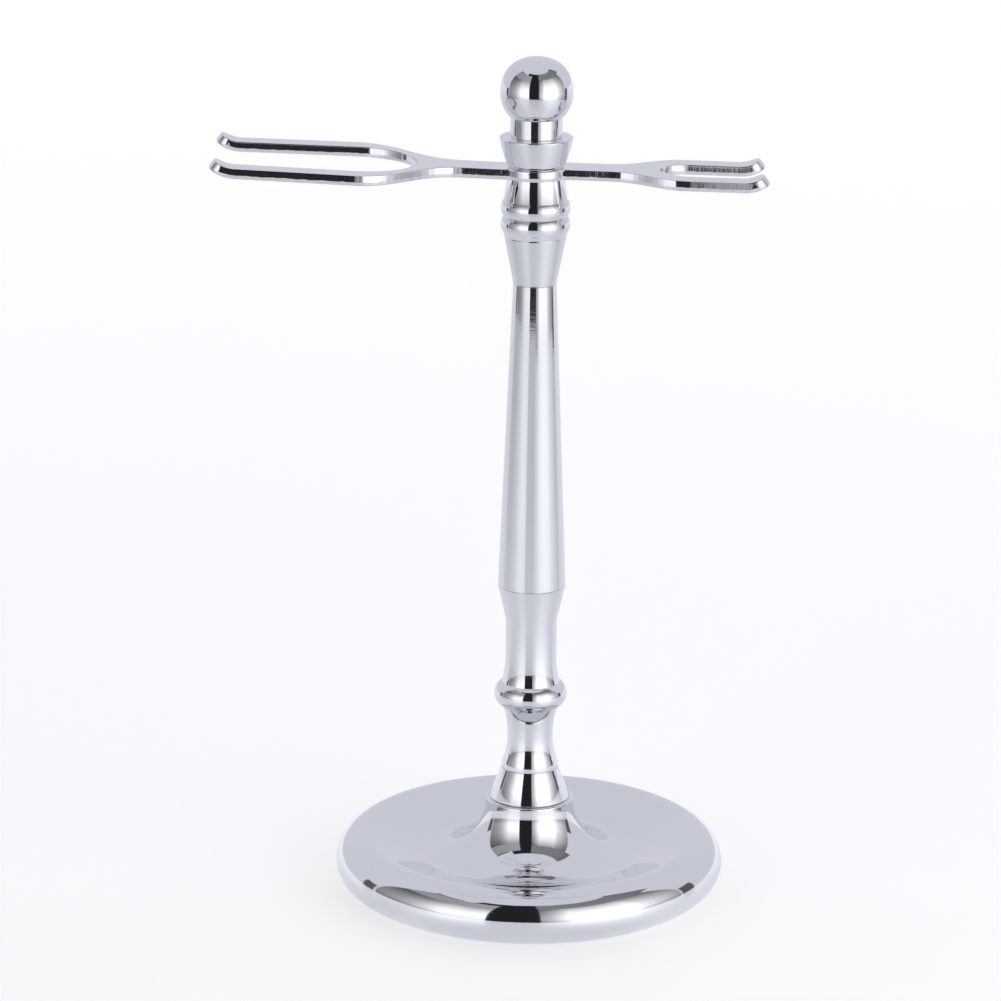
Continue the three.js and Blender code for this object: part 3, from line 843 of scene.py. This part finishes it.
def camera():
    data = bpy.data.cameras.new("camera")
    data.lens = CAMERA_LENS
    data.sensor_width = 36
    obj = new_object("camera", data)
    place = Matrix.Translation((0, -CAMERA_DISTANCE * MM, CAMERA_HEIGHT * MM))
    yaw = Matrix.Rotation(math.radians(-CAMERA_YAW), 4, "Z")
    tilt = Matrix.Rotation(math.radians(90 - CAMERA_PITCH), 4, "X")
    roll = Matrix.Rotation(math.radians(CAMERA_ROLL), 4, "Z")
    obj.matrix_world = STUDIO_TURN @ place @ yaw @ tilt @ roll
    bpy.context.scene.camera = obj


def glow(name):
    """A glow of the brightness and colour that each point of a mesh was given."""
    material = bpy.data.materials.new(name)
    material.use_nodes = True
    tree = material.node_tree
    tree.nodes.clear()
    emission = tree.nodes.new("ShaderNodeEmission")
    light = tree.nodes.new("ShaderNodeAttribute")
    light.attribute_name = "light"
    output = tree.nodes.new("ShaderNodeOutputMaterial")
    tree.links.new(light.outputs["Color"], emission.inputs["Color"])
    tree.links.new(emission.outputs["Emission"], output.inputs["Surface"])
    return material


def satin_with_painted_light():
    """The table as the polished stand mirrors it: painted light, a glow of the brightness that each point
    was given, and a blurred sheen of the screens, reflected by the shader, that grows towards the horizon."""
    n = Nodes("satin_with_painted_light")
    light = n.tree.nodes.new("ShaderNodeAttribute")
    light.attribute_name = "light"
    # painted light: the table glows with the brightness given to each point, standing in for the light
    # falling on it
    n.feed(n.shader.inputs["Emission Color"], light.outputs["Color"])
    n.shader.inputs["Emission Strength"].default_value = 1.0
    n.shader.inputs["Base Color"].default_value = (0, 0, 0, 1)
    n.shader.inputs["Roughness"].default_value = 0.28
    return n.material


def between(stops, place):
    """The value at a place along (place, value) stops, with straight runs between the stops."""
    for (a, first), (b, second) in zip(stops, stops[1:]):
        if place <= b:
            return first + (second - first) * max(0, place - a) / (b - a)
    return stops[-1][1]


def finer(stops, gap):
    """The places of the stops, and enough between them that no two are further apart than the gap."""
    places = [stops[0][0]]
    for (a, _), (b, _) in zip(stops, stops[1:]):
        steps = max(1, math.ceil((b - a) / gap))
        places += [a + (b - a) * (i + 1) / steps for i in range(steps)]
    return places


def light_mesh(name, rows, material):
    """A mesh through rows of (point, colour) pairs, which the camera doesn't see and which casts
    no shadow."""
    bm = bmesh.new()
    layer = bm.verts.layers.float_color.new("light")
    made = []
    for row in rows:
        made.append([bm.verts.new(point) for point, _ in row])
        for vert, (_, colour) in zip(made[-1], row):
            vert[layer] = (*colour, 1)
    for low, high in zip(made, made[1:]):
        for i in range(len(low) - 1):
            bm.faces.new((low[i], low[i + 1], high[i + 1], high[i]))
    mesh = bpy.data.meshes.new(name)
    bm.to_mesh(mesh)
    bm.free()
    mesh.materials.append(material)
    obj = new_object(name, mesh)
    obj.matrix_world = STUDIO_TURN
    obj.visible_camera = False
    obj.visible_shadow = False
    return obj


def studio_point(azimuth, distance, height):
    a = math.radians(azimuth)
    return distance * math.sin(a) * MM, -distance * math.cos(a) * MM, height * MM


def screen(name, azimuths, heights, tint, distance):
    """An upright screen curved round the stand. azimuths are (degrees, brightness) stops, 0
    towards the camera and growing to the right, and heights are (millimetres, share of that
    brightness) stops."""
    height_gap, azimuth_gap = 60, 2
    rows = []
    for height in finer(heights, height_gap):
        row = []
        for azimuth in finer(azimuths, azimuth_gap):
            level = between(azimuths, azimuth) * between(heights, height)
            row.append((studio_point(azimuth, distance, height), [level * c for c in tint]))
        rows.append(row)
    light_mesh(name, rows, GLOW)


def table_sheen():
    """What the polished stand sees of the table: a satin white top with soft bands of painted light and
    painted sheen of the softboxes, one set of bands close to the stand and another further out. It is there
    for reflections only."""
    tint = (0.98, 1.0, 1.07)
    above_floor, azimuth_gap = 0.05, 3
    distances = (PAD_RADIUS + 0.5, 60, 90, 150, 220, 300, 380, 450, 560, 700, 1500, 6000)
    # painted light and painted sheen: brighter bands where the softboxes' light falls on the table and
    # shines in it
    near_bands = ((-180, 0.76), (-60, 0.70), (-40, 0.78), (-20, 0.72), (20, 0.73), (45, 0.84),
                  (70, 0.78), (100, 0.70), (120, 0.72), (180, 0.76))
    far_bands = ((-180, 0.68), (-120, 0.60), (-90, 0.46), (-60, 0.59), (-40, 0.71), (-20, 0.61), (0, 0.59),
                 (20, 0.68), (40, 0.85), (50, 0.85), (70, 0.72), (100, 0.55), (130, 0.67), (180, 0.68))
    reach = ((90, 0.0), (300, 0.8), (450, 1.0), (6000, 1.0))
    rows = []
    for distance in distances:
        row = []
        for azimuth in range(-180, 181, azimuth_gap):
            near, far = between(near_bands, azimuth), between(far_bands, azimuth)
            level = near + (far - near) * between(reach, distance)
            row.append((studio_point(azimuth, distance, above_floor), [level * c for c in tint]))
        rows.append(row)
    sheen = light_mesh("table_sheen", rows, satin_with_painted_light())
    sheen.visible_diffuse = False


def floor():
    """A wide matt white floor, with enough light of its own to show as near white."""
    half_size_m = 12.0
    bm = bmesh.new()
    bmesh.ops.create_grid(bm, x_segments=1, y_segments=1, size=half_size_m)
    mesh = bpy.data.meshes.new("floor")
    bm.to_mesh(mesh)
    bm.free()
    n = Nodes("floor_white")
    n.shader.inputs["Base Color"].default_value = (0.90, 0.90, 0.90, 1)
    n.shader.inputs["Roughness"].default_value = 0.8
    n.shader.inputs["Emission Color"].default_value = (1.0, 0.98, 0.93, 1)
    n.shader.inputs["Emission Strength"].default_value = 0.4
    mesh.materials.append(n.material)
    new_object("floor", mesh)


def world():
    sky = bpy.data.worlds.new("studio")
    sky.use_nodes = True
    background = sky.node_tree.nodes["Background"]
    background.inputs["Color"].default_value = (0.70, 0.71, 0.79, 1)
    background.inputs["Strength"].default_value = 1.0
    bpy.context.scene.world = sky


GLOW = glow("studio_glow")


def studio():
    """Two softboxes with a dark gap between them, the darker walls above them, a dark bar
    overhead, and a light stand beyond each softbox."""
    floor()
    table_sheen()
    world()
    grey = (0.95, 0.93, 1.0)
    white = (0.98, 0.99, 1.03)
    screen("black_gap", ((-24, 0.02), (7, 0.02)), ((0, 1), (1150, 1)), grey, 645)
    screen("low_gap", ((7, 0.03), (26, 0.03)), ((0, 1), (22, 1)), grey, 640)
    left = ((-97, 0.28), (-80, 0.4), (-70, 0.55), (-60, 0.86), (-50, 1.3), (-24, 1.4))
    screen("left_softbox", left, ((0, 0.7), (90, 1.05), (200, 1), (600, 0.28)), white, 600)
    screen("left_wall", ((-97, 0.35), (-24, 0.44)), ((600, 1), (1060, 1)), grey, 600)
    right = ((7, 0.45), (13, 0.65), (20, 1.1), (26, 1.6), (64, 1.6), (70, 1.1), (80, 0.8), (97, 0.4))
    screen("right_softbox", right, ((0, 0.7), (90, 1.05), (200, 1), (690, 0.25)), white, 560)
    screen("right_wall", ((7, 0.26), (90, 0.24), (112, 0.16)), ((690, 1), (1330, 1)), grey, 560)
    screen("top_bar", ((-50, 0.1), (-42, 0.02), (32, 0.02), (42, 0.15)), ((1230, 1), (1700, 1)), grey, 700)
    screen("left_wall_edge", ((-98, 0.05), (-60, 0.05)), ((1040, 1), (1100, 1)), grey, 595)
    screen("right_stand", ((98, 0.12), (109, 0.12)), ((0, 1), (170, 1)), grey, 515)
    screen("left_stand", ((-109, 0.12), (-99, 0.12)), ((0, 1), (170, 1)), grey, 580)


# ---------------------------------------------------------------- the whole stand

base_shell()
base_weight()
base_pad()
base_bolt()
bolt_washer()
lock_washer()
foot_cone()
column_foot()
stud("foot_stud", "stand")
column_shaft()
stud("cap_stud", "stand")
column_cap()
cradle_plate()
finial_collar()
stud("finial_stud", "knob")
finial_ball()

bpy.context.scene.view_settings.view_transform = "Standard"
camera()
studio()
